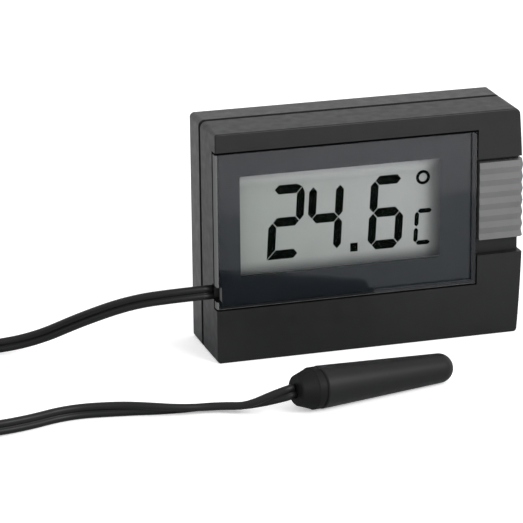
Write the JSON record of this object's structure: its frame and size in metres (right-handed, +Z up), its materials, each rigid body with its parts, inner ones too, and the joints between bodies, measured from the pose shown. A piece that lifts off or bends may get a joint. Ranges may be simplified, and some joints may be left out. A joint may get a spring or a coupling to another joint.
{
  "type": "maximum minimum thermometer",
  "caption": "Small standing digital thermometer: two-shell case, display window, ribbed slide switch at the corner, battery door, flat twin cable and tapered probe.",
  "frame": {"origin": "centre of the case's base, on the surface that the case stands on", "axes": "+Z up, -Y out of the display, +X to the right of someone facing the display"},
  "size_m": [0.1369, 0.0482, 0.0397],
  "materials": {
    "case_plastic": "fine spark-eroded texture",
    "window_clear": "polished clear acrylic",
    "print_black": "screen print",
    "display_glass": "polished",
    "polariser_film": "matt film",
    "segment_black": "dark liquid crystal",
    "reflector_film": "brushed silver-grey film",
    "holder_plastic": "moulded",
    "strip_rubber": "layered silicone",
    "board_laminate": "green solder mask",
    "chip_resin": "cured epoxy",
    "can_metal": "drawn can",
    "sensor_resin": "epoxy dip",
    "capacitor_body": "ceramic",
    "resistor_body": "glazed",
    "screw_steel": "zinc plated",
    "contact_metal": "nickel plated strip",
    "cell_steel": "nickel plated steel",
    "switch_grey": "ribbed moulding",
    "carrier_plastic": "moulded",
    "cable_sheath": "smooth soft PVC",
    "crimp_metal": "crimped",
    "copper_wire": "tinned copper",
    "solder_metal": "solder",
    "tie_plastic": "flat twist tie",
    "boot_rubber": "smooth",
    "probe_plastic": "satin moulding",
    "potting_resin": "cured resin"
  },
  "bodies": {
    "case": {"bead_leads": "copper_wire", "board_screws": "screw_steel", "button_cell": "cell_steel", "cable_coil": "cable_sheath", "cable_crimp": "crimp_metal", "cable_from_case": "cable_sheath", "cable_tail": "cable_sheath", "cable_to_probe": "cable_sheath", "capacitors": "capacitor_body", "case_screws": "screw_steel", "chip_cover": "chip_resin", "circuit_board": "board_laminate", "coil_tie": "tie_plastic", "contact_negative": "contact_metal", "contact_positive": "contact_metal", "contact_strip": "strip_rubber", "crystal": "can_metal", "display_front_glass": "display_glass", "display_holder": "holder_plastic", "display_polariser": "polariser_film", "display_rear_glass": "display_glass", "display_reflector": "reflector_film", "display_segments": "segment_black", "front_shell": "case_plastic", "probe_boot": "boot_rubber", "probe_cores": "cable_sheath", "probe_potting": "potting_resin", "probe_sleeve": "probe_plastic", "rear_shell": "case_plastic", "resistors": "resistor_body", "room_sensor": "sensor_resin", "sensor_bead": "sensor_resin", "solder_joints": "solder_metal", "window": "window_clear", "window_print": "print_black", "wire_ends": "copper_wire"},
    "slider": {"slider_knob": "switch_grey", "slider_carrier": "carrier_plastic", "slider_wiper": "contact_metal"},
    "battery_door": {"battery_door": "case_plastic"}
  },
  "joints": [
    {"name": "slider_slide", "type": "slide", "parent": "case", "child": "slider", "axis": [0, 0, -1], "range_m": [0, 0.0024]},
    {"name": "battery_door_slide", "type": "slide", "parent": "case", "child": "battery_door", "axis": [1, 0, 0], "range_m": [0, 0.0195]}
  ]
}
